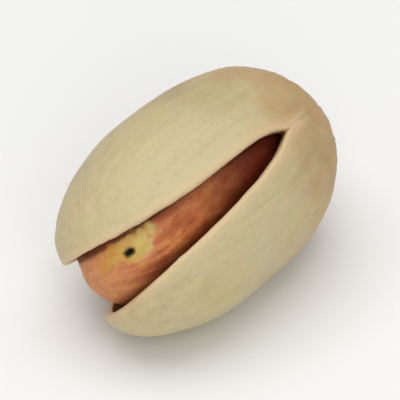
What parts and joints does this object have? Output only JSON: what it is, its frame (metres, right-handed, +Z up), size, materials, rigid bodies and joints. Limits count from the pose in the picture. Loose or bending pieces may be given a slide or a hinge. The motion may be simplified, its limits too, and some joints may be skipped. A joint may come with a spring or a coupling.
{
  "type": "pistachio in shell",
  "caption": "Pistachio nut lying on its side: an egg-shaped shell split open from the tip, with the kernel showing in the split.",
  "frame": {"origin": "on the surface the nut rests on, under the middle of its box", "axes": "+X from the open tip to the stem end, +Z up; the long split is turned up and towards -Y"},
  "size_m": [0.0202, 0.0134, 0.013],
  "materials": {
    "shell": "hard dry nutshell, matt to satin, pale greenish beige with tan stains round the stem end",
    "kernel": "thin papery seed skin, satin, orange brown, with a small bare yellow-green patch"
  },
  "bodies": {
    "root": {"shell": "shell", "kernel": "kernel"}
  },
  "joints": []
}
